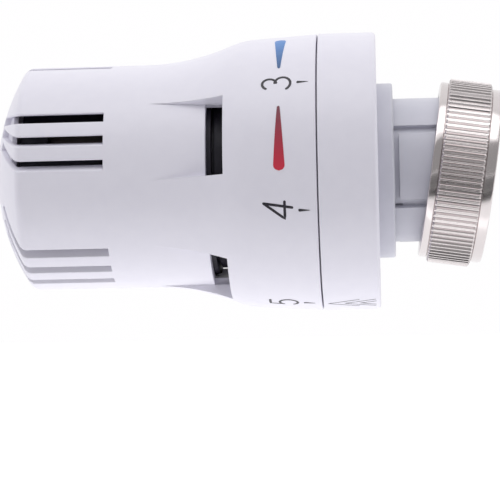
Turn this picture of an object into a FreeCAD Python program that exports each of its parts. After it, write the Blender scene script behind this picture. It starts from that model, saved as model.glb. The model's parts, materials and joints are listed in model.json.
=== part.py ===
import FreeCAD, Part
import math
import os
import re
import Sketcher

# Thermostatic radiator valve head. Millimetres.
# The head's axis is X: +X points to the valve, -X to the domed cap, +Z is up.
# The origin is the seat: the centre of the neck's end face, which meets the valve body.

Vector = FreeCAD.Vector

# name, value, what it is
driving_sizes = [
    # neck and base
    ("neck_radius", 13.3, "outside of the neck"),
    ("neck_length", 11.9, "seat to the collar"),
    ("socket_radius", 10.6, "bore of the neck that goes over the valve's insert"),
    ("socket_depth", 13.0, "seat to the floor of that bore"),
    ("flange_radius", 14.0, "retaining flange at the neck's end"),
    ("flange_thick", 0.9, "its thickness"),
    ("collar_radius", 16.2, "collar between neck and index ring"),
    ("collar_thick", 2.9, "its thickness"),
    ("plate_thick", 1.2, "base plate behind the index ring"),
    ("tongue_half_angle", 30.5, "half the angle of one snap tongue, in degrees"),
    ("tongue_turn", 1.2, "how far the front tongue is turned up, in degrees"),
    ("groove_width", 1.6, "groove each side of a tongue"),
    ("groove_depth", 0.9, "its depth"),
    ("groove_end", 0.9, "groove across a tongue's end"),
    ("slit_length", 1.4, "open slit at a tongue's corner, along the axis"),
    ("slit_width", 0.4, "its width"),
    ("collar_round", 0.4, "round on the collar's edge"),
    ("plate_clear", 0.1, "base plate in the index ring's bore"),
    # index ring
    ("ring_length", 10.5, "index ring"),
    ("ring_wall", 2.0, "its end wall"),
    ("ring_round", 0.8, "round on its outer edge"),
    ("ring_step", 0.08, "how far it stands proud of the knob's rim"),
    ("spigot_length", 3.2, "spigot that centres the knob"),
    ("spigot_wall", 1.5, "its wall"),
    ("rim_clear", 0.3, "spigot to the knob's rim bore"),
    ("seam_round", 0.2, "round on the edges each side of the seam"),
    ("seam_gap", 0.25, "gap between knob and index ring"),
    # knob
    ("knob_length", 60.15, "rim to the top of the dome"),
    ("cap_radius", 20.8, "slotted cap"),
    ("cap_wall", 2.0, "its wall"),
    ("dome_radius", 37.0, "dome"),
    ("dome_wall", 1.0, "outer skin of the dome, cut by the slots"),
    ("liner_wall", 0.8, "liner below that skin"),
    ("liner_radius", 16.3, "edge of the liner"),
    ("corner_round", 1.7, "round between dome and cap"),
    ("flare_end", 11.45, "rim to the end of the brow"),
    ("brow_run", 4.5, "length of the convex brow"),
    ("brow_rise", 1.01, "its rise"),
    ("brow_round", 13.9, "its radius"),
    ("hollow_run", 15.9, "length of the concave flare"),
    ("hollow_rise", 3.13, "its rise"),
    ("hollow_round", 42.0, "its radius"),
    ("cone_rise", 0.68, "rise of the dial from brow to rim"),
    ("skirt_wall", 2.3, "wall at the rim"),
    ("inner_bevel", 0.3, "bevel inside, between wall and dome"),
    # slots and windows
    ("slot_width", 1.45, "one slot"),
    ("slot_end", 38.15, "rim to the slots' closed end"),
    ("slot_lean", 32.0, "lean of a slot from the radius, in degrees"),
    ("slot_pitch", 12.5, "angle between the three slots of a group"),
    ("slot_inner", 8.4, "how near the axis the slots reach on the dome, along a slot"),
    ("slot_round", 0.2, "round on the slots' outer edges"),
    ("group_turn", 18.2, "how far the front group of slots is turned up, in degrees"),
    ("window_end", 16.55, "rim to the windows"),
    ("window_width", 3.3, "axial width of a window"),
    ("scoop_far_angle", 18.1, "half the angle of a scoop at its window, in degrees"),
    ("scoop_half_angle", 20.6, "half the angle of a scoop at its shallow end, in degrees"),
    ("scoop_turn", 16.3, "how far the front scoop is turned up, in degrees"),
    ("scoop_pitch", 75.8, "angle to the next scoops, in degrees"),
    ("panel_step", 0.04, "floor of a scoop above the cap's radius"),
    ("window_half_angle", 19.6, "half the angle of a window, in degrees"),
    ("window_wall", 1.28, "wall below a scoop's floor at its window"),
    # drive cage, carrier and guide
    ("cage_fin", 2.2, "height of the cage's fixing ring"),
    ("cage_wall", 1.5, "cage skirt"),
    ("cage_end", 2.45, "rim to the cage's near end"),
    ("cage_length", 33.0, "cage skirt, end to end"),
    ("cage_lip", 1.2, "thickness of the cage's inner lip"),
    ("cage_ring", 1.6, "thickness of its fixing ring"),
    ("fin_back", 0.5, "window to the back of the first flange"),
    ("fin_thick", 1.3, "first flange, behind the window"),
    ("fin_low", 0.3, "its gap to the cap's bore"),
    ("fin_gap", 0.5, "gap between the two flanges"),
    ("rib_thick", 1.4, "second flange"),
    ("rib_height", 0.8, "its height"),
    ("key_width", 4.4, "slot in the cage for a carrier lug"),
    ("key_clear", 0.2, "each side of a lug"),
    ("key_start", 10.5, "rim to the near end of a cage slot"),
    ("key_length", 12.0, "cage slot"),
    ("lug_length", 5.0, "carrier lug"),
    ("lug_rest", 1.0, "lug to the far end of its slot with the knob fully open"),
    ("lug_root", 0.5, "how deep a lug is rooted in the carrier's skirt"),
    ("lug_height", 1.3, "lug above the carrier's skirt"),
    ("slide_clear", 0.3, "carrier to cage"),
    ("carrier_wall", 1.75, "carrier skirt"),
    ("carrier_floor", 2.0, "carrier floor below the sensor"),
    ("carrier_gap", 5.0, "floor to the guide's end"),
    ("carrier_stop", 1.0, "carrier to the snap ring with the knob fully closed"),
    ("screw_travel", 3.75, "travel of the carrier from fully open to fully closed"),
    ("floor_clear", 1.5, "piston in the carrier's floor"),
    ("thread_clear", 0.25, "carrier to guide, where the coarse thread is"),
    ("guide_wall", 1.6, "thread guide"),
    ("guide_flange", 2.0, "flange of the thread guide"),
    ("guide_edge", 0.4, "flange inside the index ring's bore"),
    ("snap_thick", 0.8, "snap ring that holds the knob"),
    ("snap_height", 1.1, "how far it stands out"),
    ("snap_groove", 0.5, "depth of its groove"),
    ("snap_clear", 0.1, "axial clearance of the knob"),
    ("snap_opening", 3.0, "opening of the snap ring"),
    ("journal_clear", 0.1, "cage lip on the guide"),
    # sensor
    ("sensor_radius", 12.5, "sensor can"),
    ("sensor_length", 20.0, "sensor can"),
    ("sensor_wall", 0.6, "can"),
    ("sensor_clear", 0.1, "can to carrier"),
    ("dome_gap", 7.4, "sensor can to the liner, on the axis"),
    ("carrier_cup", 23.0, "length of the carrier's cup round the can"),
    ("cup_window_turn", 27.2, "how far the cup's front window is turned up, in degrees"),
    ("cup_window_half_angle", 8.0, "half the angle of such a window, in degrees"),
    ("cup_window_length", 12.5, "its length"),
    ("cup_window_place", 5.5, "can's end to the windows"),
    ("lid_thick", 1.2, "lid"),
    ("plug_radius", 2.0, "pinched filling plug"),
    ("plug_length", 1.8, "its length"),
    ("plug_pinch", 0.8, "how much narrower its end is"),
    ("plug_neck", 0.5, "where it begins to narrow"),
    ("lid_clear", 0.3, "piston in the lid"),
    ("bellows_length", 16.8, "bellows"),
    ("bellows_inner", 6.9, "bellows, inside"),
    ("bellows_outer", 9.8, "bellows, outside"),
    ("bellows_skin", 0.35, "bellows skin"),
    ("bellows_folds", 7, "number of folds"),
    ("piston_radius", 3.4, "piston"),
    ("piston_head", 1.0, "its head"),
    ("piston_end", 2.0, "how far it stands out of the carrier's floor"),
    ("return_radius", 5.2, "return spring, to the wire's centre"),
    ("return_wire", 0.9, "its wire"),
    ("return_turns", 6, "its turns"),
    # pin side
    ("spacer_thick", 2.0, "insulating spacer"),
    ("spacer_radius", 6.0, "insulating spacer"),
    ("cup_length", 16.5, "overload cup"),
    ("cup_wall", 1.0, "its wall"),
    ("cup_clear", 0.5, "cup to overload spring"),
    ("overload_radius", 6.0, "overload spring, to the wire's centre"),
    ("overload_wire", 1.8, "its wire"),
    ("overload_turns", 4.5, "its turns"),
    ("spring_clear", 0.05, "each end of a spring"),
    ("retainer_thick", 1.0, "ring that closes the cup"),
    ("retainer_clear", 0.3, "pin in that ring"),
    ("pin_radius", 4.0, "push pin"),
    ("pin_head", 2.0, "its head"),
    ("pin_clear", 0.05, "pin in its bush"),
    ("pin_chamfer", 0.5, "chamfer at the pin's tip"),
    ("pin_rest", 15.55, "seat to the pin's tip with the valve fully open"),
    ("bush_wall", 2.0, "pin bush"),
    ("bush_length", 9.0, "pin bush"),
    # union nut, M30 x 1.5
    ("thread_minor", 14.19, "minor radius of the M30 x 1.5 thread"),
    ("thread_length", 3.4, "full turns at the mouth"),
    ("mouth_chamfer", 0.45, "chamfer at the mouth"),
    ("relief_radius", 15.1, "bore behind the full turns"),
    ("nut_length", 11.55, "union nut"),
    ("nut_lip", 1.2, "inner lip"),
    ("nut_back", 5.35, "seat to the nut's back face along the axis"),
    ("knurl_radius", 17.1, "crest of the knurl"),
    ("back_band", 1.6, "plain band at the back"),
    ("back_radius", 16.3, "its radius"),
    ("front_band", 2.05, "plain band at the mouth"),
    ("front_radius", 16.1, "its radius"),
    ("nut_chamfer", 0.4, "chamfer on its outer edges"),
    ("knurl_slope", 0.3, "slanted ends of the knurl"),
    ("nut_tilt", 8.7, "droop of the loose nut, in degrees"),
    ("bush_inner", 13.72, "thrust bush, inside"),
    ("bush_outer", 14.15, "thrust bush, in the nut's lip"),
    ("bush_rim", 14.6, "its rim inside the nut"),
    ("bush_rim_thick", 0.3, "thickness of that rim"),
    ("bush_seat", 0.02, "rim to the nut's lip"),
    ("lip_clear", 0.05, "nut's lip on the thrust bush"),
    ("washer_thick", 0.3, "slip washer"),
    ("washer_gap", 0.05, "slip washer to its neighbours"),
    # how far a cutting outline goes past the surface that it cuts
    ("beyond", 1.0, "past a free surface"),
    ("beyond_near", 0.4, "past the neck, short of its collar"),
    ("beyond_least", 0.02, "past the cage, short of its flange"),
]

# places and sizes that follow from the driving ones
derived = {
    "collar_right": "-neck_length",
    "ring_right": "collar_right - collar_thick",
    "ring_left": "ring_right - ring_length",
    "plate_right": "ring_right - ring_wall",
    "plate_left": "plate_right - plate_thick",
    "rim": "ring_left - seam_gap",
    "apex": "rim - knob_length",
    "brow_end": "rim - flare_end",
    "hollow_end": "brow_end - brow_run",
    "flare_start": "hollow_end - hollow_run",
    "hollow_top": "cap_radius + hollow_rise",
    "brow_top": "hollow_top + brow_rise",
    "rim_radius": "brow_top + cone_rise",
    "ring_radius": "rim_radius + ring_step",
    "rim_bore": "rim_radius - skirt_wall",
    "cap_bore": "cap_radius - cap_wall",
    "scoop_floor": "cap_radius + panel_step",
    "window_bore": "scoop_floor - window_wall",
    "window_right": "rim - window_end",
    "window_left": "window_right - window_width",
    "spigot_radius": "rim_bore - rim_clear",
    "spigot_bore": "spigot_radius - spigot_wall",
    "spigot_end": "ring_left - spigot_length",
    "cage_radius": "cap_bore - cage_fin",
    "cage_bore": "cage_radius - cage_wall",
    "cage_right": "rim - cage_end",
    "cage_left": "cage_right - cage_length",
    "fin_left": "window_left - fin_back",
    "fin_right": "fin_left + fin_thick",
    "rib_left": "fin_right + fin_gap",
    "rib_right": "rib_left + rib_thick",
    "lug_left": "rim - key_start - key_length + lug_rest",
    "carrier_radius": "cage_bore - slide_clear",
    "carrier_bore": "carrier_radius - carrier_wall",
    "guide_radius": "carrier_bore - thread_clear",
    "guide_bore": "guide_radius - guide_wall",
    "guide_right": "plate_left",
    "guide_left": "floor_right + carrier_gap",
    "journal": "guide_radius + journal_clear",
    "carrier_right": "snap_left - screw_travel - carrier_stop",
    "snap_right": "cage_right - cage_lip - snap_clear",
    "snap_left": "snap_right - snap_thick",
    "sensor_left": "apex + dome_wall + liner_wall + dome_gap",
    "sensor_right": "sensor_left + sensor_length",
    "floor_left": "sensor_right",
    "floor_right": "floor_left + carrier_floor",
    "lid_left": "sensor_right - lid_thick",
    "bellows_left": "lid_left - bellows_length",
    "piston_left": "bellows_left + bellows_skin",
    "piston_right": "floor_right + piston_end",
    "spacer_right": "piston_right + spacer_thick",
    "cup_right": "spacer_right + cup_length",
    "overload_out": "overload_radius + overload_wire / 2",
    "cup_bore": "overload_out + cup_clear",
    "cup_radius": "cup_bore + cup_wall",
    "cup_floor": "spacer_right + cup_wall",
    "retainer_left": "cup_right - retainer_thick",
    "head_left": "retainer_left - pin_head",
    "bush_bore": "pin_radius + pin_clear",
    "bush_radius": "bush_bore + bush_wall",
    "bush_right": "-socket_depth",
    "bush_left": "bush_right - bush_length",
    "nut_pivot": "-nut_back + nut_lip / 2",
    "lip_bore": "bush_outer + lip_clear",
    "washer_right": "-flange_thick - washer_gap",
    "washer_left": "washer_right - washer_thick",
}

doc = FreeCAD.newDocument("radiator_head")
sheet = doc.addObject("Spreadsheet::Sheet", "Sizes")
for row, (name, value, note) in enumerate(driving_sizes, 1):
    sheet.set(f"A{row}", name)
    sheet.set(f"B{row}", str(value))
    sheet.set(f"C{row}", note)
    sheet.setAlias(f"B{row}", name)
doc.recompute()
aliases = {name for name, value, note in driving_sizes}


def bound(text):
    # spells a size or place out in cells of the sheet
    def spell(match):
        word = match.group(0)
        if word in derived:
            return "(" + bound(derived[word]) + ")"
        if word in aliases:
            return "Sizes." + word
        return word
    return re.sub(r"[a-z][a-z_0-9]*", spell, str(text))


def value_of(text):
    return float(sheet.evalExpression(bound(text)))


def origin_part(body, role):
    return next(part for part in body.Origin.OriginFeatures if part.Role == role)


def new_body(label):
    body = doc.addObject("PartDesign::Body", label)
    body.Label = label
    return body


def arc_between(start, end, radius):
    # arc from start to end; a positive radius turns left, a negative one turns right
    chord = end - start
    half = chord.Length / 2
    height = math.sqrt(max(radius * radius - half * half, 0))
    side = Vector(-chord.y, chord.x, 0).normalize() * height
    centre = start + chord / 2 + (side if radius > 0 else side * -1)
    first, last = (start, end) if radius > 0 else (end, start)
    begin = math.atan2(first.y - centre.y, first.x - centre.x)
    finish = math.atan2(last.y - centre.y, last.x - centre.x)
    return Part.ArcOfCircle(Part.Circle(centre, Vector(0, 0, 1), abs(radius)), begin, finish)


def outline(body, role, corners, name, shift="0", turn="0"):
    # closed outline; a corner is (x, y), or (x, y, radius) where an arc leads to the next corner
    sketch = body.newObject("Sketcher::SketchObject", name)
    sketch.AttachmentSupport = [(origin_part(body, role), "")]
    sketch.MapMode = "FlatFace"
    sketch.AttachmentOffset = FreeCAD.Placement(
        Vector(0, 0, value_of(shift)), FreeCAD.Rotation(Vector(0, 0, 1), value_of(turn)))
    sketch.setExpression("AttachmentOffset.Base.z", bound(shift))
    if turn != "0":
        sketch.setExpression("AttachmentOffset.Rotation.Angle", bound(turn))
    points = [Vector(value_of(corner[0]), value_of(corner[1]), 0) for corner in corners]
    starts = []
    ends = []
    for index, corner in enumerate(corners):
        here = points[index]
        there = points[(index + 1) % len(points)]
        radius = value_of(corner[2]) if len(corner) > 2 else 0
        if radius:
            sketch.addGeometry(arc_between(here, there, radius), False)
        else:
            sketch.addGeometry(Part.LineSegment(here, there), False)
        starts.append(2 if radius < 0 else 1)
        ends.append(1 if radius < 0 else 2)
    for index in range(len(corners)):
        after = (index + 1) % len(corners)
        sketch.addConstraint(Sketcher.Constraint("Coincident", index, ends[index], after, starts[after]))
    for index, corner in enumerate(corners):
        for axis, size in (("DistanceX", corner[0]), ("DistanceY", corner[1])):
            number = sketch.addConstraint(
                Sketcher.Constraint(axis, index, starts[index], value_of(size)))
            sketch.setExpression(f"Constraints[{number}]", bound(size))
        if len(corner) > 2:
            number = sketch.addConstraint(
                Sketcher.Constraint("Radius", index, abs(value_of(corner[2]))))
            sketch.setExpression(f"Constraints[{number}]", "abs(" + bound(corner[2]) + ")")
    return sketch


def spin_up(body, corners, name="turned"):
    # solid of revolution about the body's X axis
    sketch = outline(body, "XZ_Plane", corners, name + "_outline")
    solid = body.newObject("PartDesign::Revolution", name)
    solid.Profile = sketch
    solid.ReferenceAxis = (sketch, ["H_Axis"])
    solid.Angle = 360
    doc.recompute()
    return solid


def turned(label, corners):
    body = new_body(label)
    spin_up(body, corners)
    return body


def tube(label, left, right, inner, outer):
    return turned(label, [(left, inner), (right, inner), (right, outer), (left, outer)])


def cut(body, corners, name, right, length, turn="0"):
    # cuts a cross-section away from the plane x = right towards -X
    before = body.Shape.Volume
    sketch = outline(body, "YZ_Plane", corners, name + "_outline", shift=right, turn=turn)
    pocket = body.newObject("PartDesign::Pocket", name)
    pocket.Profile = sketch
    pocket.Length = value_of(length)
    pocket.setExpression("Length", bound(length))
    doc.recompute()
    if before - pocket.Shape.Volume < 0.01:
        raise RuntimeError(name + " cuts nothing")
    return pocket


def around(body, features, count, name):
    ring = body.newObject("PartDesign::PolarPattern", name)
    ring.Originals = features
    ring.Axis = (origin_part(body, "X_Axis"), [""])
    ring.Angle = 360
    ring.Occurrences = count
    body.Tip = ring
    doc.recompute()
    return ring


def sector(inner, outer, half_angle):
    # part of a ring about the axis, centred on -Y, the front
    def corner(radius, side):
        return (f"-({radius}) * cos({half_angle})", f"{side} * ({radius}) * sin({half_angle})")
    low = corner(inner, -1)
    high = corner(inner, 1)
    high_out = corner(outer, 1)
    low_out = corner(outer, -1)
    return [(*low, f"-({inner})"), high, (*high_out, outer), low_out]


def strip(near, far, middle, width):
    # rectangle across the front, from near to far of the axis
    return [
        (f"-({far})", f"{middle} - ({width}) / 2"),
        (f"-({near})", f"{middle} - ({width}) / 2"),
        (f"-({near})", f"{middle} + ({width}) / 2"),
        (f"-({far})", f"{middle} + ({width}) / 2"),
    ]


def scoop(body, name, turn):
    # finger recess in the flare, a little narrower at its window than at its shallow end
    ends = []
    for place, half_angle in (("window_right", "scoop_far_angle"), ("flare_start", "scoop_half_angle")):
        corners = sector("scoop_floor", "rim_radius + beyond", half_angle)
        ends.append(outline(body, "YZ_Plane", corners, f"{name}_{place}", shift=place, turn=turn))
    before = body.Shape.Volume
    loft = body.newObject("PartDesign::SubtractiveLoft", name + "_scoop")
    loft.Profile = ends[0]
    loft.Sections = [ends[1]]
    loft.Ruled = True
    doc.recompute()
    if before - loft.Shape.Volume < 0.01:
        raise RuntimeError(name + " scoop cuts nothing")
    cut(body, sector("cap_bore - beyond", "scoop_floor + beyond_least", "window_half_angle"),
        name + "_window", "window_right", "window_width", turn)


def soften_slots(body):
    # rounds the slots' edges on the cap's outside
    near = 0.01
    cap = value_of("cap_radius")
    slot_right = value_of("rim - slot_end")
    chosen = []
    for number, edge in enumerate(body.Shape.Edges, 1):
        reach = edge.LastParameter - edge.FirstParameter
        spots = [edge.valueAt(edge.FirstParameter + share * reach) for share in (0, 0.5, 1)]
        right = max(spot.x for spot in spots)
        along = right - min(spot.x for spot in spots)
        on_cap = min(math.hypot(spot.y, spot.z) for spot in spots) > cap - near
        closed_end = abs(right - slot_right) < near and edge.Length < 2 * value_of("slot_width")
        if on_cap and right < slot_right + near and (closed_end or along > value_of("slot_width")):
            chosen.append(f"Edge{number}")
    base = body.Tip
    rounds = body.newObject("PartDesign::Fillet", "slot_rounds")
    rounds.Base = (base, chosen)
    rounds.Radius = value_of("slot_round")
    rounds.setExpression("Radius", bound("slot_round"))
    body.Tip = rounds
    doc.recompute()


def handwheel_shell():
    body = new_body("handwheel_shell")
    lean = "asin((cap_radius - corner_round) / (dome_radius - corner_round))"
    corner_x = f"apex + dome_radius - dome_radius * cos({lean})"
    corner_y = f"dome_radius * sin({lean})"
    corner_end = f"apex + dome_radius - (dome_radius - corner_round) * cos({lean})"
    skin = "dome_radius - dome_wall"
    inner_edge = "cap_bore - inner_bevel"
    skin_x = f"apex + dome_radius - sqrt(({skin}) ^ 2 - ({inner_edge}) ^ 2)"
    spin_up(body, [
        ("apex", "0", "-dome_radius"),
        (corner_x, corner_y, "-corner_round"),
        (corner_end, "cap_radius"),
        ("flare_start", "cap_radius", "hollow_round"),
        ("hollow_end", "hollow_top", "-brow_round"),
        ("brow_end", "brow_top"),
        ("rim - seam_round", "rim_radius", "-seam_round"),
        ("rim", "rim_radius - seam_round"),
        ("rim", "rim_bore"),
        ("brow_end", "rim_bore"),
        ("window_right + window_wall", "hollow_top - skirt_wall"),
        ("window_right", "window_bore"),
        ("window_left", "window_bore"),
        ("window_left", "cap_bore"),
        (f"{skin_x} + inner_bevel", "cap_bore"),
        (skin_x, inner_edge, skin),
        ("apex + dome_wall", "0"),
    ])
    slots = []
    wall_middle = "(cap_radius - cap_wall / 2)"
    for index in range(3):
        turn = f"-(group_turn + (1 - {index}) * slot_pitch) + slot_lean"
        slots.append(cut(
            body, strip("slot_inner", "cap_radius + beyond", f"{wall_middle} * sin(slot_lean)", "slot_width"),
            f"slot_{index}", "rim - slot_end", "knob_length", turn))
    around(body, slots, 5, "slots")
    inside = "dome_radius - dome_wall - liner_wall"
    spin_up(body, [
        ("apex + dome_wall", "0", f"-({skin})"),
        (f"apex + dome_radius - sqrt(({skin}) ^ 2 - liner_radius ^ 2)", "liner_radius"),
        (f"apex + dome_radius - sqrt(({inside}) ^ 2 - liner_radius ^ 2)", "liner_radius", inside),
        ("apex + dome_wall + liner_wall", "0"),
    ], "liner")
    scoop(body, "front", "-scoop_turn")
    scoop(body, "low", "-scoop_turn + scoop_pitch")
    scoop(body, "back", "-scoop_turn + 2 * scoop_pitch")
    scoop(body, "high", "-scoop_turn + scoop_pitch + 180")
    soften_slots(body)
    return body


def index_ring():
    return turned("index_ring", [
        ("ring_right", "collar_radius"),
        ("ring_right", "ring_radius - ring_round", "ring_round"),
        ("ring_right - ring_round", "ring_radius"),
        ("ring_left + seam_round", "ring_radius", "seam_round"),
        ("ring_left", "ring_radius - seam_round"),
        ("ring_left", "spigot_radius"),
        ("spigot_end", "spigot_radius"),
        ("spigot_end", "spigot_bore"),
        ("plate_right", "spigot_bore"),
        ("plate_right", "collar_radius"),
    ])


def neck_housing():
    body = turned("neck_housing", [
        ("0", "socket_radius"),
        ("0", "flange_radius"),
        ("-flange_thick", "flange_radius"),
        ("-flange_thick", "neck_radius"),
        ("collar_right", "neck_radius"),
        ("collar_right", "collar_radius - collar_round", "collar_round"),
        ("collar_right - collar_round", "collar_radius"),
        ("plate_right", "collar_radius"),
        ("plate_right", "spigot_bore - plate_clear"),
        ("plate_left", "spigot_bore - plate_clear"),
        ("plate_left", "bush_radius"),
        ("bush_right", "bush_radius"),
        ("bush_right", "socket_radius"),
    ])
    floor = "neck_radius - groove_depth"
    edge = "tongue_half_angle"
    cuts = []
    for side in (-1, 1):
        cuts.append(cut(
            body, strip(floor, "neck_radius + beyond_near", "0", "groove_width"),
            "groove_low" if side < 0 else "groove_high",
            "-flange_thick", "neck_length - flange_thick",
            f"-tongue_turn + {side} * {edge}"))
    cuts.append(cut(
        body, sector(floor, "neck_radius + beyond_near", edge), "groove_across",
        "collar_right + groove_end", "groove_end", "-tongue_turn"))
    cuts.append(cut(
        body, strip("socket_radius - beyond", "neck_radius + beyond_near",
                    "(groove_width - slit_width) / 2 * -1", "slit_width"),
        "slit", "collar_right + slit_length", "slit_length", f"-tongue_turn + {edge}"))
    around(body, cuts, 3, "tongues")
    return body


def thread_guide():
    return turned("thread_guide", [
        ("guide_left", "guide_bore"),
        ("guide_right", "guide_bore"),
        ("guide_right", "spigot_bore - guide_edge"),
        ("guide_right - guide_flange", "spigot_bore - guide_edge"),
        ("guide_right - guide_flange", "guide_radius"),
        ("snap_right", "guide_radius"),
        ("snap_right", "guide_radius - snap_groove"),
        ("snap_left", "guide_radius - snap_groove"),
        ("snap_left", "guide_radius"),
        ("guide_left", "guide_radius"),
    ])


def pin_bush():
    return tube("pin_bush", "bush_left", "bush_right", "bush_bore", "bush_radius")


def knob_retaining_ring():
    body = tube("knob_retaining_ring", "snap_left", "snap_right",
                "guide_radius - snap_groove", "guide_radius - snap_groove + snap_height")
    cut(body, strip("guide_radius / 2", "guide_radius + snap_height", "0", "snap_opening"), "opening",
        "snap_right + beyond", "snap_thick + 2 * beyond", "90")
    return body


def drive_cage():
    body = turned("drive_cage", [
        ("cage_left", "cage_bore"),
        ("cage_right - cage_lip", "cage_bore"),
        ("cage_right - cage_lip", "journal"),
        ("cage_right", "journal"),
        ("cage_right", "cage_radius"),
        ("rib_right", "cage_radius"),
        ("rib_right", "cage_radius + rib_height"),
        ("rib_left", "cage_radius + rib_height"),
        ("rib_left", "cage_radius"),
        ("fin_right", "cage_radius"),
        ("fin_right", "cap_bore - fin_low"),
        ("fin_left", "cap_bore - fin_low"),
        ("fin_left", "cage_radius"),
        ("cage_left + cage_ring", "cage_radius"),
        ("cage_left + cage_ring", "cap_bore"),
        ("cage_left", "cap_bore"),
    ])
    key = cut(
        body, strip("cage_bore - beyond", "cage_radius + beyond_least", "0", "key_width"), "key",
        "rim - key_start", "key_length", "180")
    around(body, [key], 3, "keys")
    return body


def sensor_carrier():
    body = turned("sensor_carrier", [
        ("sensor_right - carrier_cup", "sensor_radius + sensor_clear"),
        ("floor_left", "sensor_radius + sensor_clear"),
        ("floor_left", "piston_radius + floor_clear"),
        ("floor_right", "piston_radius + floor_clear"),
        ("floor_right", "carrier_bore"),
        ("carrier_right", "carrier_bore"),
        ("carrier_right", "carrier_radius"),
        ("sensor_right - carrier_cup", "carrier_radius"),
    ])
    lug = body.newObject("PartDesign::Pad", "lug")
    lug.Profile = outline(
        body, "YZ_Plane",
        strip("carrier_radius - lug_root", "carrier_radius + lug_height", "0", "key_width - 2 * key_clear"),
        "lug_outline", "lug_left", "180")
    lug.Length = value_of("lug_length")
    lug.setExpression("Length", bound("lug_length"))
    doc.recompute()
    around(body, [lug], 3, "lugs")
    window = cut(
        body, sector("sensor_radius - beyond", "carrier_radius + beyond", "cup_window_half_angle"),
        "cup_window", "sensor_right - cup_window_place", "cup_window_length", "-cup_window_turn")
    around(body, [window], 5, "cup_windows")
    return body


def sensor_can():
    return turned("sensor_can", [
        ("sensor_left", "plug_radius"),
        ("sensor_left", "sensor_radius"),
        ("sensor_right", "sensor_radius"),
        ("sensor_right", "sensor_radius - sensor_wall"),
        ("sensor_left + sensor_wall", "sensor_radius - sensor_wall"),
        ("sensor_left + sensor_wall", "plug_radius"),
    ])


def fill_plug():
    return turned("fill_plug", [
        ("sensor_left - plug_length", "0"),
        ("sensor_left - plug_length", "plug_radius - plug_pinch"),
        ("sensor_left - plug_neck", "plug_radius"),
        ("sensor_left + sensor_wall", "plug_radius"),
        ("sensor_left + sensor_wall", "0"),
    ])


def sensor_lid():
    return tube("sensor_lid", "lid_left", "sensor_right",
                "piston_radius + lid_clear", "sensor_radius - sensor_wall")


def bellows():
    # closed end at the left, open end on the lid
    folds = int(value_of("bellows_folds"))
    pitch = f"(bellows_length - bellows_skin) / {folds}"
    outside = [("bellows_left", "0"), ("bellows_left", "bellows_inner + bellows_skin")]
    inside = [("bellows_left + bellows_skin", "0"), ("bellows_left + bellows_skin", "bellows_inner")]
    for fold in range(folds):
        top = f"bellows_left + bellows_skin + ({fold} + 0.5) * {pitch}"
        foot = f"bellows_left + bellows_skin + ({fold} + 1) * {pitch}"
        outside.append((top, "bellows_outer"))
        outside.append((foot, "bellows_inner + bellows_skin"))
        inside.append((top, "bellows_outer - bellows_skin"))
        inside.append((foot, "bellows_inner"))
    return turned("bellows", outside + inside[::-1])


def piston():
    return turned("piston", [
        ("piston_left", "0"),
        ("piston_left", "return_radius + return_wire / 2"),
        ("piston_left + piston_head", "return_radius + return_wire / 2"),
        ("piston_left + piston_head", "piston_radius"),
        ("piston_right", "piston_radius"),
        ("piston_right", "0"),
    ])


def insulating_spacer():
    return turned("insulating_spacer", [
        ("piston_right", "0"),
        ("piston_right", "spacer_radius"),
        ("spacer_right", "spacer_radius"),
        ("spacer_right", "0"),
    ])


def overload_cup():
    return turned("overload_cup", [
        ("spacer_right", "0"),
        ("spacer_right", "cup_radius"),
        ("cup_right", "cup_radius"),
        ("cup_right", "cup_bore"),
        ("cup_floor", "cup_bore"),
        ("cup_floor", "0"),
    ])


def spring_retainer():
    return tube("spring_retainer", "retainer_left", "cup_right", "pin_radius + retainer_clear", "cup_bore")


def push_pin():
    return turned("push_pin", [
        ("head_left", "0"),
        ("head_left", "overload_out"),
        ("retainer_left", "overload_out"),
        ("retainer_left", "pin_radius"),
        ("-pin_rest - pin_chamfer", "pin_radius"),
        ("-pin_rest", "pin_radius - pin_chamfer"),
        ("-pin_rest", "0"),
    ])


def coil(label, left, right, radius, wire, turns):
    # round wire wound about the X axis, its ends laid between left and right
    body = doc.addObject("Part::Sweep", label)
    body.Label = label
    helix = doc.addObject("Part::Helix", label + "_path")
    length = f"({right}) - ({left}) - ({wire})"
    helix.setExpression("Height", bound(length))
    helix.setExpression("Radius", bound(radius))
    helix.setExpression("Pitch", "(" + bound(length) + ") / (" + bound(turns) + ")")
    helix.Placement.Rotation = FreeCAD.Rotation(Vector(0, 1, 0), 90)
    helix.setExpression("Placement.Base.x", bound(f"{left} + ({wire}) / 2"))
    section = doc.addObject("Part::Circle", label + "_wire")
    section.setExpression("Radius", bound(f"({wire}) / 2"))
    section.Placement.Rotation = FreeCAD.Rotation(Vector(0, 0, 1), Vector(0, 1, 0))
    section.setExpression("Placement.Base.x", bound(f"{left} + ({wire}) / 2"))
    section.setExpression("Placement.Base.z", "-" + bound(f"({radius})"))
    doc.recompute()
    body.Sections = [section]
    body.Spine = (helix, ["Edge1"])
    body.Solid = True
    body.Frenet = True
    doc.recompute()
    return body


def return_spring():
    return coil("return_spring", "piston_left + piston_head + spring_clear", "lid_left - spring_clear",
                "return_radius", "return_wire", "return_turns")


def overload_spring():
    return coil("overload_spring", "cup_floor + spring_clear", "head_left - spring_clear",
                "overload_radius", "overload_wire", "overload_turns")


def hang(body):
    # pieces that tilt with the loose nut are drawn about the pivot and then drooped
    body.Placement = FreeCAD.Placement(
        Vector(value_of("nut_pivot"), 0, 0), FreeCAD.Rotation(Vector(0, 1, 0), value_of("nut_tilt")))
    body.setExpression("Placement.Base.x", bound("nut_pivot"))
    body.setExpression("Placement.Rotation.Angle", bound("nut_tilt"))
    return body


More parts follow.
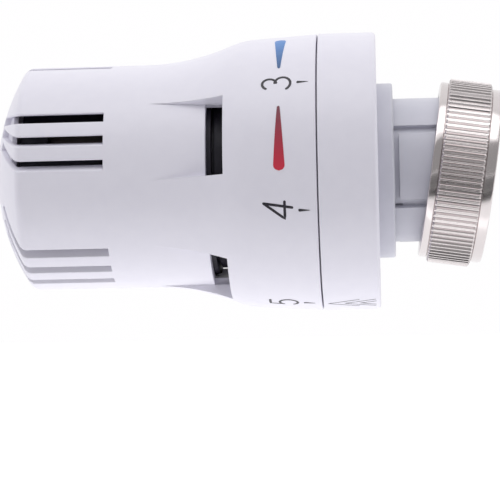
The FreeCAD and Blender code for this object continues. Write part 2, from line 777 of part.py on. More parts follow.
def union_nut():
    back = "-nut_lip / 2"
    mouth = "nut_length - nut_lip / 2"
    return hang(turned("union_nut", [
        (back, "lip_bore"),
        (back, "back_radius - nut_chamfer"),
        (f"{back} + nut_chamfer", "back_radius"),
        (f"{back} + back_band", "back_radius"),
        (f"{back} + back_band + knurl_slope", "knurl_radius"),
        (f"{mouth} - front_band - knurl_slope", "knurl_radius"),
        (f"{mouth} - front_band", "front_radius"),
        (f"{mouth} - nut_chamfer", "front_radius"),
        (mouth, "front_radius - nut_chamfer"),
        (mouth, "thread_minor + mouth_chamfer"),
        (f"{mouth} - mouth_chamfer", "thread_minor"),
        (f"{mouth} - mouth_chamfer - thread_length", "thread_minor"),
        (f"{mouth} - mouth_chamfer - thread_length", "relief_radius"),
        ("nut_lip / 2", "relief_radius"),
        ("nut_lip / 2", "lip_bore"),
    ]))


def thrust_bush():
    return hang(turned("thrust_bush", [
        ("-nut_lip / 2", "bush_inner"),
        ("nut_lip / 2 + bush_rim_thick", "bush_inner"),
        ("nut_lip / 2 + bush_rim_thick", "bush_rim"),
        ("nut_lip / 2 + bush_seat", "bush_rim"),
        ("nut_lip / 2 + bush_seat", "bush_outer"),
        ("-nut_lip / 2", "bush_outer"),
    ]))


def slip_washer():
    return tube("slip_washer", "washer_left", "washer_right",
                "neck_radius + washer_gap", "flange_radius - washer_gap")


makers = [
    handwheel_shell, index_ring, neck_housing, thread_guide, pin_bush, knob_retaining_ring,
    drive_cage, sensor_carrier, sensor_can, fill_plug, sensor_lid, bellows, piston,
    insulating_spacer, overload_cup, spring_retainer, push_pin, return_spring,
    overload_spring, union_nut, thrust_bush, slip_washer,
]
pieces = [maker() for maker in makers]
doc.recompute()

for item in doc.Objects:
    if "Invalid" in item.State or "Error" in item.State:
        raise RuntimeError(item.Name + " failed: " + ", ".join(item.State))
for piece in pieces:
    if piece.Shape.isNull() or not piece.Shape.isValid():
        raise RuntimeError(piece.Label + " has no valid shape")

os.makedirs("parts", exist_ok=True)
for piece in pieces:
    piece.Shape.exportStep(f"parts/{piece.Label}.step")
    box = piece.Shape.optimalBoundingBox()
    print(f"{piece.Label:22s} x {box.XMin:8.3f} {box.XMax:8.3f}  r {box.ZMax:7.3f}"
          f"  volume {piece.Shape.Volume:10.2f}  solids {len(piece.Shape.Solids)}")
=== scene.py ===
import json
import math
import bpy
import bmesh
from mathutils import Matrix, Vector
from mathutils.bvhtree import BVHTree


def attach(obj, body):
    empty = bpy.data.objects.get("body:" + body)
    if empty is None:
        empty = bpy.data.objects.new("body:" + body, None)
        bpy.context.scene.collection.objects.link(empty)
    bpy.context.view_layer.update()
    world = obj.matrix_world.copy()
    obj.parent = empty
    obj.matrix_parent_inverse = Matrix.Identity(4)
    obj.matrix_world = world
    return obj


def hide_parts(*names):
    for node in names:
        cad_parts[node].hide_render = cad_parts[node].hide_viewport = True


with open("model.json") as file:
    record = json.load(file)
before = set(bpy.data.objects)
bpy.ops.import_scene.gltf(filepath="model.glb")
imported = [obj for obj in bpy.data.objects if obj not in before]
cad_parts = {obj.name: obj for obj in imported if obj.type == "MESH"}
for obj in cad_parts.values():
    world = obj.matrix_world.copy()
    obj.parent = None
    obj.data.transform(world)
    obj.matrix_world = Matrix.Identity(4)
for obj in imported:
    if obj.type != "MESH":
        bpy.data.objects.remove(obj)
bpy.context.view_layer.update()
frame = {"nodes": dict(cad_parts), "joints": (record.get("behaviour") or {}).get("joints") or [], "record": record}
cadNodes = frame["nodes"]
joints = {joint["name"]: joint for joint in frame["joints"]}
mm = 0.001
print("frame loaded")

# studio

cameraSettings = {
    "aimBelowAxis": 14.2 * mm,     # aim below the head's axis
    "aimFromSeat": -39.07 * mm,
    "distance": 386 * mm,
    "turn": 3.6,                   # degrees towards the valve end
    "roll": -1.3,                  # degrees
    "lens": 148.6,
    "sensor": 36.0,
}


def placeCamera():
    s = cameraSettings
    target = Vector((s["aimFromSeat"], 0, -s["aimBelowAxis"]))
    turn = math.radians(s["turn"])
    away = Vector((math.sin(turn), -math.cos(turn), 0))
    data = bpy.data.cameras.new("studioCamera")
    data.lens = s["lens"]
    data.sensor_width = s["sensor"]
    data.dof.use_dof = False
    data.clip_start = 0.01
    camera = bpy.data.objects.new("studioCamera", data)
    bpy.context.scene.collection.objects.link(camera)
    look = (-away).to_track_quat("-Z", "Y").to_matrix().to_4x4()
    roll = Matrix.Rotation(math.radians(s["roll"]), 4, "Z")
    camera.matrix_world = Matrix.Translation(target + away * s["distance"]) @ look @ roll
    bpy.context.scene.camera = camera


worldSettings = {
    "behind": 1.0,       # light that comes from behind the object
    "front": 0.40,       # light from the camera's side
    "tint": (1.0, 0.995, 1.0),
    "frontUntil": -0.6,  # share of the Y direction where the front light ends
    "behindFrom": 0.35,  # and where the light from behind is full
}


def lightWorld():
    s = worldSettings
    world = bpy.data.worlds.new("whiteRoom")
    bpy.context.scene.world = world
    world.use_nodes = True
    nodes, links = world.node_tree.nodes, world.node_tree.links
    background = nodes["Background"]
    coords = nodes.new("ShaderNodeTexCoord")
    split = nodes.new("ShaderNodeSeparateXYZ")
    frontToBack = nodes.new("ShaderNodeMapRange")
    frontToBack.interpolation_type = "SMOOTHSTEP"
    frontToBack.inputs["From Min"].default_value = s["frontUntil"]
    frontToBack.inputs["From Max"].default_value = s["behindFrom"]
    frontToBack.inputs["To Min"].default_value = s["front"]
    frontToBack.inputs["To Max"].default_value = s["behind"]
    links.new(coords.outputs["Generated"], split.inputs[0])
    links.new(split.outputs["Y"], frontToBack.inputs["Value"])
    links.new(frontToBack.outputs["Result"], background.inputs["Strength"])
    background.inputs["Color"].default_value = (*s["tint"], 1)


lampTarget = Vector((-0.04, 0, 0))
lampSettings = [
    # name, place, size, watts
    ("overheadSoftbox", (-0.05, -0.16, 0.42), (0.60, 0.34), 0.62),
    ("frontStrip", (0.00, -0.26, 0.42), (0.70, 0.30), 0.50),
    ("lowSoftbox", (-0.02, -0.07, -0.155), (0.60, 0.06), 0.05),
]


def hangLamps():
    for name, place, size, watts in lampSettings:
        data = bpy.data.lights.new(name, "AREA")
        data.shape = "RECTANGLE"
        data.size, data.size_y = size
        data.energy = watts
        lamp = bpy.data.objects.new(name, data)
        lamp.location = place
        lamp.rotation_mode = "QUATERNION"
        lamp.rotation_quaternion = (lampTarget - Vector(place)).to_track_quat("-Z", "Y")
        bpy.context.scene.collection.objects.link(lamp)


floorSettings = {
    "drop": 0.16,
    "side": 6.0,
    "colour": (0.93, 0.93, 0.94, 1),
    "roughness": 0.9,
    "glow": 0.35,
}


def layFloor():
    s = floorSettings
    mesh = bpy.data.meshes.new("studioFloor")
    work = bmesh.new()
    bmesh.ops.create_grid(work, x_segments=2, y_segments=2, size=s["side"] / 2)
    bmesh.ops.translate(work, verts=work.verts, vec=(0, 0, -s["drop"]))
    work.to_mesh(mesh)
    work.free()
    floor = bpy.data.objects.new("studioFloor", mesh)
    bpy.context.scene.collection.objects.link(floor)
    paper = bpy.data.materials.new("floorPaper")
    paper.use_nodes = True
    shader = paper.node_tree.nodes["Principled BSDF"]
    shader.inputs["Base Color"].default_value = s["colour"]
    shader.inputs["Roughness"].default_value = s["roughness"]
    shader.inputs["Emission Color"].default_value = (1, 1, 1, 1)
    shader.inputs["Emission Strength"].default_value = s["glow"]
    mesh.materials.append(paper)


cardSettings = {
    "width": 0.80,
    "greyTop": -0.030,
    "greyBottom": -0.159,
    "greyAway": 0.36,
    "blackTop": -0.100,
    "blackBottom": -0.158,
    "blackAway": 0.22,
    "grey": 0.22,
    "black": 0.012,
}


def hangCard(name, away, top, bottom, shade):
    # an upright card in front, seen only in the metal's reflections
    s = cardSettings
    work = bmesh.new()
    bmesh.ops.create_grid(work, x_segments=1, y_segments=1, size=0.5)
    for v in work.verts:
        v.co = Vector((v.co.x * s["width"], -away, (top + bottom) / 2 + v.co.y * (top - bottom)))
    mesh = bpy.data.meshes.new(name)
    work.to_mesh(mesh)
    work.free()
    felt = bpy.data.materials.new(name + "Felt")
    felt.use_nodes = True
    shader = felt.node_tree.nodes["Principled BSDF"]
    shader.inputs["Base Color"].default_value = (shade, shade, shade, 1)
    shader.inputs["Roughness"].default_value = 0.9
    mesh.materials.append(felt)
    card = bpy.data.objects.new(name, mesh)
    card.visible_camera = False
    bpy.context.scene.collection.objects.link(card)


def hangCards():
    s = cardSettings
    hangCard("greyCard", s["greyAway"], s["greyTop"], s["greyBottom"], s["grey"])
    hangCard("blackCard", s["blackAway"], s["blackTop"], s["blackBottom"], s["black"])


bpy.context.scene.view_settings.view_transform = "Standard"
placeCamera()
lightWorld()
hangLamps()
layFloor()
hangCards()
print("studio set")

# materials


def startMaterial(name):
    material = bpy.data.materials.new(name)
    material.use_nodes = True
    nodes, links = material.node_tree.nodes, material.node_tree.links
    return material, nodes, links, nodes["Principled BSDF"]


def noiseField(nodes, links, scale, detail=2.0, stretch=(1, 1, 1)):
    coords = nodes.new("ShaderNodeTexCoord")
    mapping = nodes.new("ShaderNodeMapping")
    mapping.inputs["Scale"].default_value = stretch
    field = nodes.new("ShaderNodeTexNoise")
    field.inputs["Scale"].default_value = scale
    field.inputs["Detail"].default_value = detail
    links.new(coords.outputs["Object"], mapping.inputs["Vector"])
    links.new(mapping.outputs["Vector"], field.inputs["Vector"])
    return field.outputs["Fac"]


def spread(nodes, links, field, low, high, socket, fromLow=0.3, fromHigh=0.7):
    # lays the field between two numbers on a socket
    ranger = nodes.new("ShaderNodeMapRange")
    ranger.inputs["From Min"].default_value = fromLow
    ranger.inputs["From Max"].default_value = fromHigh
    ranger.inputs["To Min"].default_value = low
    ranger.inputs["To Max"].default_value = high
    links.new(field, ranger.inputs["Value"])
    links.new(ranger.outputs["Result"], socket)
    return ranger


def twoTones(nodes, links, field, first, second, socket):
    ramp = nodes.new("ShaderNodeValToRGB")
    ramp.color_ramp.elements[0].position = 0.35
    ramp.color_ramp.elements[0].color = (*first, 1)
    ramp.color_ramp.elements[1].position = 0.65
    ramp.color_ramp.elements[1].color = (*second, 1)
    links.new(field, ramp.inputs["Fac"])
    links.new(ramp.outputs["Color"], socket)


def roughen(nodes, links, shader, field, strength, depth, edge=0.0):
    # surface relief; edge is the radius that softens sharp edges
    bump = nodes.new("ShaderNodeBump")
    bump.inputs["Strength"].default_value = strength
    bump.inputs["Distance"].default_value = depth
    links.new(field, bump.inputs["Height"])
    if edge:
        rounder = nodes.new("ShaderNodeBevel")
        rounder.samples = 6
        rounder.inputs["Radius"].default_value = edge
        links.new(rounder.outputs["Normal"], bump.inputs["Normal"])
    links.new(bump.outputs["Normal"], shader.inputs["Normal"])


def mouldedPlastic(name, first, second, gloss, grain, depth, edge=0.25 * mm):
    material, nodes, links, shader = startMaterial(name)
    twoTones(nodes, links, noiseField(nodes, links, 420, 3), first, second, shader.inputs["Base Color"])
    spread(nodes, links, noiseField(nodes, links, 900, 3), gloss[0], gloss[1], shader.inputs["Roughness"])
    shader.inputs["IOR"].default_value = 1.45
    roughen(nodes, links, shader, noiseField(nodes, links, grain, 2), 0.25, depth, edge)
    return material


def turnedMetal(name, first, second, gloss, lines, depth, tilt=0.0, edge=0.12 * mm):
    # fine rings left by the lathe, square to the X axis; tilt turns them with a drooping piece
    material, nodes, links, shader = startMaterial(name)
    twoTones(nodes, links, noiseField(nodes, links, 70, 3), first, second, shader.inputs["Base Color"])
    spread(nodes, links, noiseField(nodes, links, 220, 4), gloss[0], gloss[1], shader.inputs["Roughness"])
    shader.inputs["Metallic"].default_value = 1.0
    coords = nodes.new("ShaderNodeTexCoord")
    mapping = nodes.new("ShaderNodeMapping")
    mapping.inputs["Rotation"].default_value = (0, tilt, 0)
    rings = nodes.new("ShaderNodeTexNoise")
    rings.inputs["Scale"].default_value = 1.0
    rings.inputs["Detail"].default_value = 3
    squash = nodes.new("ShaderNodeMapping")
    squash.inputs["Scale"].default_value = (lines, 6, 6)
    links.new(coords.outputs["Object"], mapping.inputs["Vector"])
    links.new(mapping.outputs["Vector"], squash.inputs["Vector"])
    links.new(squash.outputs["Vector"], rings.inputs["Vector"])
    roughen(nodes, links, shader, rings.outputs["Fac"], 0.3, depth, edge)
    return material


droop = math.radians(joints["nut_tilt"]["range_deg"][1]) / 2

finishes = {
    "whiteShell": mouldedPlastic(
        "whiteShell", (0.800, 0.784, 0.876), (0.812, 0.796, 0.886), (0.34, 0.38), 2600, 0.006 * mm),
    "whiteRing": mouldedPlastic(
        "whiteRing", (0.800, 0.784, 0.876), (0.812, 0.796, 0.886), (0.34, 0.38), 2600, 0.006 * mm, 0.15 * mm),
    "greyNeck": mouldedPlastic(
        "greyNeck", (0.600, 0.600, 0.675), (0.615, 0.615, 0.690), (0.36, 0.42), 2200, 0.008 * mm, 0.2 * mm),
    "blackNylon": mouldedPlastic(
        "blackNylon", (0.014, 0.012, 0.022), (0.022, 0.019, 0.032), (0.45, 0.60), 1800, 0.030 * mm),
    "naturalPlastic": mouldedPlastic(
        "naturalPlastic", (0.62, 0.58, 0.48), (0.68, 0.64, 0.54), (0.40, 0.52), 1800, 0.020 * mm),
    "acetalWhite": mouldedPlastic(
        "acetalWhite", (0.70, 0.70, 0.67), (0.76, 0.76, 0.73), (0.30, 0.42), 1800, 0.015 * mm),
    "nickelPlate": turnedMetal(
        "nickelPlate", (0.64, 0.595, 0.595), (0.70, 0.655, 0.655), (0.13, 0.20), 4200, 0.010 * mm, droop),
    "turnedBrass": turnedMetal(
        "turnedBrass", (0.66, 0.47, 0.19), (0.74, 0.55, 0.25), (0.20, 0.34), 4200, 0.012 * mm),
    "bellowsBronze": turnedMetal(
        "bellowsBronze", (0.50, 0.35, 0.20), (0.60, 0.43, 0.26), (0.25, 0.40), 3000, 0.010 * mm),
    "springSteel": turnedMetal(
        "springSteel", (0.42, 0.42, 0.43), (0.52, 0.52, 0.53), (0.25, 0.38), 2500, 0.008 * mm),
    "groundSteel": turnedMetal(
        "groundSteel", (0.56, 0.56, 0.57), (0.64, 0.64, 0.65), (0.16, 0.28), 5200, 0.006 * mm),
    # the can is copper and brass metal; its colour is darkened far below brass as painted shade for the dark
    # inside of the head
    "canPaintedShade": turnedMetal(
        "canPaintedShade", (0.17, 0.14, 0.125), (0.26, 0.22, 0.20), (0.38, 0.55), 3000, 0.010 * mm),
}

finishOfSlot = {
    "white_plastic": "whiteShell",
    "base_plastic": "greyNeck",
    "black_plastic": "blackNylon",
    "nickel": "nickelPlate",
    "brass": "turnedBrass",
    "spring_steel": "springSteel",
    "pin_steel": "groundSteel",
    "can_metal": "canPaintedShade",
    "bellows_bronze": "bellowsBronze",
    "spacer_plastic": "naturalPlastic",
    "washer_plastic": "acetalWhite",
}


def dressCadNodes():
    for part in frame["record"]["subparts"]:
        node = cadNodes[part["node"]]
        finish = finishes[finishOfSlot[part["material_slot"]]]
        for number in range(len(node.material_slots)):
            node.material_slots[number].material = finish
    for number in range(len(cadNodes["index_ring"].material_slots)):
        cadNodes["index_ring"].material_slots[number].material = finishes["whiteRing"]


dressCadNodes()
print("materials made")

# mesh helpers


def keepMesh(work, name, material, body, smooth=40):
    mesh = bpy.data.meshes.new(name)
    work.to_mesh(mesh)
    work.free()
    mesh.materials.append(material)
    for face in mesh.polygons:
        face.use_smooth = True
    mesh.set_sharp_from_angle(angle=math.radians(smooth))
    piece = bpy.data.objects.new(name, mesh)
    bpy.context.scene.collection.objects.link(piece)
    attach(piece, body)
    return piece


def spinProfile(work, corners, steps):
    # closed outline (x, radius) turned about the X axis
    verts = [work.verts.new((x, 0, radius)) for x, radius in corners]
    edges = [work.edges.new((verts[i], verts[(i + 1) % len(verts)])) for i in range(len(verts))]
    bmesh.ops.spin(
        work, geom=verts + edges, cent=(0, 0, 0), axis=(1, 0, 0),
        angle=2 * math.pi, steps=steps, use_merge=True, use_duplicate=False)
    bmesh.ops.remove_doubles(work, verts=work.verts, dist=0.0005 * mm)
    bmesh.ops.recalc_face_normals(work, faces=work.faces)


# union nut

nutSettings = {
    "length": 11.55 * mm,
    "lip": 1.2 * mm,
    "lipBore": 14.2 * mm,
    "threadMinor": 14.19 * mm,
    "threadMajor": 15.05 * mm,
    "pitch": 1.5 * mm,
    "threadEnd": 0.75 * mm,        # from the mouth
    "threadSteps": 72,
    "threadStart": 7.3 * mm,       # from the back face; the bore behind it stays clear
    "knurlCrest": 17.1 * mm,
    "knurlRoot": 16.62 * mm,
    "knurlTeeth": 96,
    "knurlEnd": 0.28 * mm,         # length of the knurl's slanted ends
    "knurlDepth": 0.7 * mm,        # teeth reach this far below the back band
    "groove": 0.25 * mm,           # step down from the bands under the knurl
    "backBand": 1.6 * mm,
    "backRadius": 16.3 * mm,
    "frontBand": 2.05 * mm,
    "frontRadius": 16.1 * mm,
    "edge": 0.4 * mm,
    "steps": 192,
}


def nutPlace():
    pivot = Vector(joints["nut_spin"]["pos_m"])
    return Matrix.Translation(pivot) @ Matrix.Rotation(droop, 4, "Y")


def unionNut():
    s = nutSettings
    back = -s["lip"] / 2
    mouth = back + s["length"]
    work = bmesh.new()
    edge = s["edge"]
    knurlFrom = back + s["backBand"]
    knurlTo = mouth - s["frontBand"]
    spinProfile(work, [
        (back, s["lipBore"]),
        (back, s["backRadius"] - edge),
        (back + edge * 0.3, s["backRadius"] - edge * 0.3),
        (back + edge, s["backRadius"]),
        (knurlFrom - edge * 0.5, s["backRadius"]),
        (knurlFrom, s["backRadius"] - s["groove"]),
        (knurlTo, s["frontRadius"] - s["groove"]),
        (knurlTo + edge * 0.5, s["frontRadius"]),
        (mouth - edge, s["frontRadius"]),
        (mouth - edge * 0.3, s["frontRadius"] - edge * 0.3),
        (mouth, s["frontRadius"] - edge),
        (mouth, s["threadMajor"] + 0.15 * mm),
        (mouth - 0.6 * mm, s["threadMinor"] + 0.55 * mm),
        (mouth - 0.9 * mm, s["threadMajor"]),
        (s["lip"] / 2, s["threadMajor"]),
        (s["lip"] / 2, s["lipBore"]),
    ], s["steps"])
    knurl(work, knurlFrom, knurlTo)
    thread(work, back + s["threadStart"], mouth - s["threadEnd"])
    bmesh.ops.transform(work, matrix=nutPlace(), verts=work.verts)
    piece = keepMesh(work, "knurledUnionNut", finishes["nickelPlate"], "nut", 35)
    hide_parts("union_nut")
    return piece


def knurl(work, start, stop):
    # one tooth, from root to root, is spun round as copies
    s = nutSettings
    pitch = 2 * math.pi / s["knurlTeeth"]
    inner = s["backRadius"] - s["knurlDepth"]
    section = [(-0.5, 0.0), (-0.34, 0.10), (-0.12, 0.96), (0.0, 1.0), (0.12, 0.96), (0.34, 0.10), (0.5, 0.0)]
    stations = [
        (start, -1.0), (start, 0.0), (start + s["knurlEnd"], 1.0),
        (stop - s["knurlEnd"], 1.0), (stop, 0.0), (stop, -1.0)]
    rows = []
    for x, height in stations:
        row = []
        for share, rise in section:
            root = s["knurlRoot"] if height >= 0 else inner
            radius = root + (s["knurlCrest"] - s["knurlRoot"]) * rise * max(height, 0)
            angle = share * pitch
            row.append(work.verts.new((x, radius * math.sin(angle), radius * math.cos(angle))))
        rows.append(row)
    faces = []
    for one, two in zip(rows, rows[1:] + rows[:1]):
        for i in range(len(section) - 1):
            faces.append(work.faces.new((one[i], one[i + 1], two[i + 1], two[i])))
    tooth = faces + [v for row in rows for v in row] + list({e for f in faces for e in f.edges})
    bmesh.ops.spin(
        work, geom=tooth, cent=(0, 0, 0), axis=(1, 0, 0), angle=2 * math.pi,
        steps=s["knurlTeeth"], use_merge=False, use_duplicate=True)
    bmesh.ops.remove_doubles(work, verts=work.verts, dist=0.002 * mm)
    bmesh.ops.recalc_face_normals(work, faces=work.faces)


def thread(work, start, stop):
    # one ridge wound along the bore; its foot is inside the wall
    s = nutSettings
    steps = s["threadSteps"]
    turns = (stop - start - s["pitch"]) / s["pitch"]
    total = int(turns * steps)
    foot = s["threadMajor"] + 0.05 * mm
    half = s["pitch"] * 0.44
    flat = s["pitch"] * 0.11
    middle = start + s["pitch"] / 2
    ring = [work.verts.new(p) for p in (
        (middle - half, 0, foot), (middle - flat, 0, s["threadMinor"]),
        (middle + flat, 0, s["threadMinor"]), (middle + half, 0, foot))]
    face = work.faces.new(ring)
    geometry = [face] + ring + list(face.edges)
    bmesh.ops.spin(
        work, geom=geometry, cent=(0, 0, 0), axis=(1, 0, 0),
        dvec=(s["pitch"] / steps, 0, 0), angle=2 * math.pi * total / steps, steps=total,
        use_merge=False, use_duplicate=False)
    bmesh.ops.recalc_face_normals(work, faces=work.faces)


unionNut()
print("union nut made")

# printed dial

dialSettings = {
    "pointerAngle": 71.0,          # degrees below the front
    "step": 54.0,                  # degrees between two figures
    "figureX": -32.5 * mm,         # middle of the figures
    "figureHeight": 5.0 * mm,
    "figureWidth": 3.1 * mm,
    "stroke": 0.47 * mm,
    "inkLift": 0.020 * mm,
    "inkDepth": 0.05 * mm,
    "tickFrom": -28.9 * mm,
    "tickTo": -26.8 * mm,
    "tickWidth": 0.55 * mm,
}


def surfaceOf(name):
    node = cadNodes[name]
    return BVHTree.FromPolygons(
        [v.co.copy() for v in node.data.vertices],
        [tuple(p.vertices) for p in node.data.polygons])


dialSurface = surfaceOf("handwheel_shell")
ringSurface = surfaceOf("index_ring")


def radiusAt(surface, x, angle):
    out = Vector((0, -math.cos(angle), -math.sin(angle)))
    hit = surface.ray_cast(Vector((x, 0, 0)) + out * 0.05, -out)
    return (hit[0] - Vector((x, 0, 0))).length


def wrap(work, surface, x, angle, turned=True):
    # flat marks, drawn in metres with their top towards +Y, are laid round the surface;
    # turned marks have their top towards the cap
    s = dialSettings
    base = radiusAt(surface, x, angle)
    for v in work.verts:
        along, across = (-v.co.y, v.co.x) if turned else (v.co.x, -v.co.y)
        here = angle - across / base
        place = x + along
        radius = radiusAt(surface, place, here) + s["inkLift"] + v.co.z
        v.co = Vector((place, -radius * math.cos(here), -radius * math.sin(here)))


def arc(cx, cy, rx, ry, start, stop, count=14):
    return [
        (cx + rx * math.cos(math.radians(start + (stop - start) * i / count)),
         cy + ry * math.sin(math.radians(start + (stop - start) * i / count)))
        for i in range(count + 1)]


def figureStrokes(figure):
    # strokes in a box from -0.5 to 0.5 in both directions
    if figure == "1":
        return [[(-0.28, 0.28), (0.06, 0.5), (0.06, -0.5)]]
    if figure == "2":
        return [arc(0, 0.20, 0.42, 0.30, 165, -35, 16) + [(-0.45, -0.5), (0.48, -0.5)]]
    if figure == "3":
        return [arc(-0.02, 0.25, 0.38, 0.25, 150, -80, 18), arc(-0.02, -0.22, 0.47, 0.28, 82, -150, 20)]
    if figure == "4":
        return [[(0.40, 0.5), (0.16, -0.5)], [(0.40, 0.5), (-0.5, -0.24), (0.5, -0.24)]]
    if figure == "5":
        return [[(0.36, 0.5), (-0.28, 0.5), (-0.38, 0.02)], arc(-0.02, -0.17, 0.44, 0.33, 145, -145, 22)]
    spokes = []
    for turn in (0, 60, 120):                     # frost sign
        c, n = 0.5 * math.cos(math.radians(turn)), 0.5 * math.sin(math.radians(turn))
        spokes.append([(-c, -n), (c, n)])
    return spokes


def inkedStrokes(work, strokes, width, wide, high):
    # round-ended strokes, pressed nearly flat
    s = dialSettings
    curve = bpy.data.curves.new("stroke", "CURVE")
    curve.dimensions = "3D"
    curve.bevel_depth = width / 2
    curve.bevel_resolution = 2
    curve.use_fill_caps = True
    for stroke in strokes:
        points = [Vector((x * wide, y * high, 0)) for x, y in stroke]
        fine = [points[0]]
        for a, b in zip(points, points[1:]):
            parts = max(1, int((b - a).length / (0.5 * mm)))
            fine += [a.lerp(b, (i + 1) / parts) for i in range(parts)]
        spline = curve.splines.new("POLY")
        spline.points.add(len(fine) - 1)
        for point, place in zip(spline.points, fine):
            point.co = (*place, 1)
    holder = bpy.data.objects.new("stroke", curve)
    mesh = bpy.data.meshes.new_from_object(holder)
    bpy.data.objects.remove(holder)
    before = set(work.verts)
    work.from_mesh(mesh)
    bpy.data.meshes.remove(mesh)
    for stroke in strokes:
        for x, y in (stroke[0], stroke[-1]):
            bmesh.ops.create_uvsphere(
                work, u_segments=10, v_segments=6, radius=width / 2,
                matrix=Matrix.Translation((x * wide, y * high, 0)))
    for v in set(work.verts) - before:
        v.co.z *= s["inkDepth"] / width


def joined(parts):
    whole = bmesh.new()
    for part in parts:
        mesh = bpy.data.meshes.new("part")
        part.to_mesh(mesh)
        part.free()
        whole.from_mesh(mesh)
        bpy.data.meshes.remove(mesh)
    return whole


def inkMaterial(name, first, second, gloss):
    material, nodes, links, shader = startMaterial(name)
    twoTones(nodes, links, noiseField(nodes, links, 900, 3), first, second, shader.inputs["Base Color"])
    spread(nodes, links, noiseField(nodes, links, 700, 3), gloss[0], gloss[1], shader.inputs["Roughness"])
    roughen(nodes, links, shader, noiseField(nodes, links, 3000, 2), 0.2, 0.01 * mm)
    return material


def fadedInk(name, tip, wide, tipHeight, wideHeight):
    # ink that fades from the wedge's tip to its wide end, by height on the front
    material, nodes, links, shader = startMaterial(name)
    coords = nodes.new("ShaderNodeTexCoord")
    split = nodes.new("ShaderNodeSeparateXYZ")
    links.new(coords.outputs["Object"], split.inputs[0])
    share = nodes.new("ShaderNodeMapRange")
    share.inputs["From Min"].default_value = tipHeight
    share.inputs["From Max"].default_value = wideHeight
    links.new(split.outputs["Z"], share.inputs["Value"])
    ramp = nodes.new("ShaderNodeValToRGB")
    ramp.color_ramp.elements[0].color = (*tip, 1)
    ramp.color_ramp.elements[1].color = (*wide, 1)
    links.new(share.outputs["Result"], ramp.inputs["Fac"])
    links.new(ramp.outputs["Color"], shader.inputs["Base Color"])
    spread(nodes, links, noiseField(nodes, links, 700, 3), 0.34, 0.46, shader.inputs["Roughness"])
    roughen(nodes, links, shader, noiseField(nodes, links, 3000, 2), 0.2, 0.01 * mm)
    return material


def dialFigures():
    s = dialSettings
    marks = []
    for index, figure in enumerate(("5", "4", "3", "2", "1", "frost")):
        angle = math.radians(s["pointerAngle"] - s["step"] * index)
        mark = bmesh.new()
        wide = s["figureWidth"] if figure != "frost" else s["figureWidth"] * 1.2
        high = s["figureHeight"] if figure != "frost" else s["figureWidth"] * 1.2
        inkedStrokes(mark, figureStrokes(figure), s["stroke"], wide, high)
        wrap(mark, dialSurface, s["figureX"], angle)
        marks.append(mark)
        tick = bmesh.new()
        bmesh.ops.create_grid(tick, x_segments=12, y_segments=2, size=0.5)
        for v in tick.verts:
            share = v.co.x + 0.5
            taper = (1 - share) ** 0.8 * min(1, (share + 0.02) * 12) ** 0.5
            v.co = Vector((
                (share - 0.5) * (s["tickTo"] - s["tickFrom"]), v.co.y * s["tickWidth"] * max(taper, 0.05), 0))
        thicken(tick)
        wrap(tick, dialSurface, (s["tickFrom"] + s["tickTo"]) / 2, angle, turned=False)
        marks.append(tick)
    ink = inkMaterial("dialInk", (0.012, 0.010, 0.018), (0.024, 0.020, 0.032), (0.34, 0.46))
    piece = keepMesh(joined(marks), "dialFigures", ink, "handwheel")
    return piece


def thicken(work):
    # a flat mark gets the ink's thickness, half of it below the surface
    s = dialSettings
    flat = list(work.faces)
    bmesh.ops.recalc_face_normals(work, faces=flat)
    raised = bmesh.ops.extrude_face_region(work, geom=flat + list(work.verts) + list(work.edges),
                                           use_keep_orig=True)
    top = [item for item in raised["geom"] if isinstance(item, bmesh.types.BMVert)]
    bmesh.ops.translate(work, verts=top, vec=(0, 0, s["inkDepth"]))
    bmesh.ops.translate(work, verts=work.verts, vec=(0, 0, -s["inkDepth"] / 2))
    bmesh.ops.recalc_face_normals(work, faces=work.faces)


wedgeSettings = {
    "x": -32.1 * mm,
    "narrow": 0.42 * mm,
    "wide": 2.15 * mm,
    "warm": (-26.0, 1.0),          # tip and wide end, degrees below the front
    "cool": (-45.6, -72.0),
}


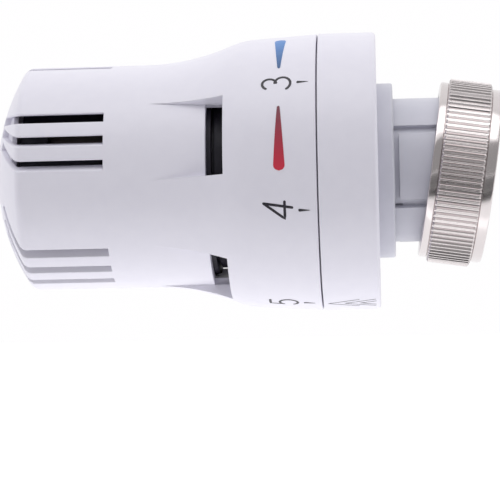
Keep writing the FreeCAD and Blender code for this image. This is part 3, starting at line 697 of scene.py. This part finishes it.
def colourWedge(name, tip, end, material):
    s = wedgeSettings
    radius = radiusAt(dialSurface, s["x"], math.radians((tip + end) / 2))
    length = abs(math.radians(end - tip)) * radius
    way = 1 if end > tip else -1
    leastRound = 0.0004
    work = bmesh.new()
    bmesh.ops.create_grid(work, x_segments=60, y_segments=8, size=0.5)
    for v in work.verts:
        along = (v.co.x + 0.5) * length
        half = (s["narrow"] + (s["wide"] - s["narrow"]) * (along / length) ** 0.85) / 2
        fromTip = min(along / (s["narrow"] / 2), 1)
        fromEnd = min((length - along) / (s["wide"] / 2), 1)
        for fromEdge in (fromTip, fromEnd):
            half *= math.sqrt(max(1 - (1 - fromEdge) ** 2, leastRound))
        v.co = Vector((v.co.y * 2 * half, way * (along - length / 2), 0))
    thicken(work)
    wrap(work, dialSurface, s["x"], math.radians((tip + end) / 2), turned=False)
    bmesh.ops.recalc_face_normals(work, faces=work.faces)
    piece = keepMesh(work, name, material, "handwheel")
    return piece


def heightAt(angle):
    return -25.2 * mm * math.sin(math.radians(angle))


dialFigures()
warm, cool = wedgeSettings["warm"], wedgeSettings["cool"]
colourWedge("warmWedge", *warm, fadedInk(
    "redInk", (0.16, 0.030, 0.055), (0.62, 0.028, 0.060), heightAt(warm[0]), heightAt(warm[1])))
colourWedge("coolWedge", *cool, fadedInk(
    "blueInk", (0.050, 0.115, 0.260), (0.085, 0.250, 0.620), heightAt(cool[0]), heightAt(cool[1])))
print("dial printed")

# pointer on the ring

pointerSettings = {
    "tips": (-24.4 * mm, -21.4 * mm, -18.6 * mm),
    "arm": 5.6 * mm,
    "spreadHalf": 1.9 * mm,
    "line": 0.16 * mm,
    "end": -15.7 * mm,
}


def pointerMark():
    s = pointerSettings
    d = dialSettings
    angle = math.radians(d["pointerAngle"])
    marks = []
    for tip in s["tips"]:
        mark = bmesh.new()
        reach = min(s["arm"], s["end"] - tip)
        half = s["spreadHalf"] * reach / s["arm"]
        inkedStrokes(mark, [[(reach, half), (0, 0), (reach, -half)]], s["line"], 1, 1)
        wrap(mark, ringSurface, tip, angle, turned=False)
        marks.append(mark)
    ink = inkMaterial("pointerInk", (0.060, 0.055, 0.070), (0.10, 0.095, 0.11), (0.34, 0.46))
    piece = keepMesh(joined(marks), "pointerMark", ink, "base")
    return piece


pointerMark()
print("pointer printed")
